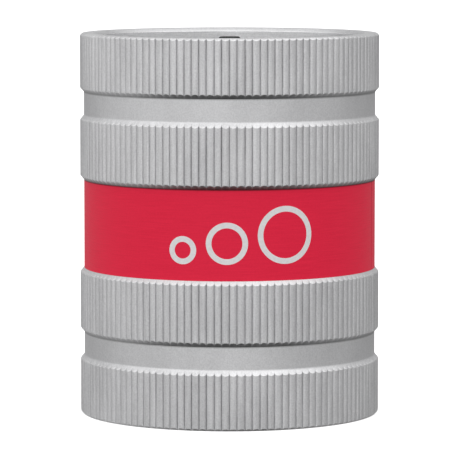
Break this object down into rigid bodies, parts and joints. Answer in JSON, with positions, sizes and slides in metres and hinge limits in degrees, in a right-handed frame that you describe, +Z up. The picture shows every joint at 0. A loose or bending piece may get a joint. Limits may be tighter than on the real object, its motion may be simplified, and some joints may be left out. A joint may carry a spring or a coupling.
{
  "type": "pipe deburring tool",
  "caption": "Two-ended hand deburring tool for pipe ends: a fluted aluminium sleeve with a red middle band, holding fixed blades that form a cone at one end and a funnel at the other.",
  "frame": {"origin": "centre of the lower rim, on the axis; the lower rim is the funnel end", "axes": "+Z up the axis towards the cone end; one blade lies in the +Y direction"},
  "size_m": [0.07, 0.07, 0.089],
  "materials": {
    "blasted_aluminium": "fine blasted, satin",
    "label_red": "satin printed film",
    "label_print": "pale grey print",
    "machined_aluminium": "turned and milled",
    "blade_steel": "ground, hardened",
    "black_steel": "black oxide",
    "zinc_steel": "zinc plated"
  },
  "bodies": {
    "root": {"housing": "blasted_aluminium", "label_band": "label_red", "blade_carrier": "machined_aluminium", "blade_1": "blade_steel", "blade_2": "blade_steel", "blade_3": "blade_steel", "blade_screw_1_inner": "black_steel", "lock_washer_1_inner": "zinc_steel", "blade_screw_1_outer": "black_steel", "lock_washer_1_outer": "zinc_steel", "blade_screw_2_inner": "black_steel", "lock_washer_2_inner": "zinc_steel", "blade_screw_2_outer": "black_steel", "lock_washer_2_outer": "zinc_steel", "blade_screw_3_inner": "black_steel", "lock_washer_3_inner": "zinc_steel", "blade_screw_3_outer": "black_steel", "lock_washer_3_outer": "zinc_steel", "core_pin": "black_steel", "core_pin_clip": "zinc_steel", "carrier_screw_1": "black_steel", "carrier_screw_2": "black_steel", "carrier_screw_3": "black_steel"}
  },
  "joints": []
}
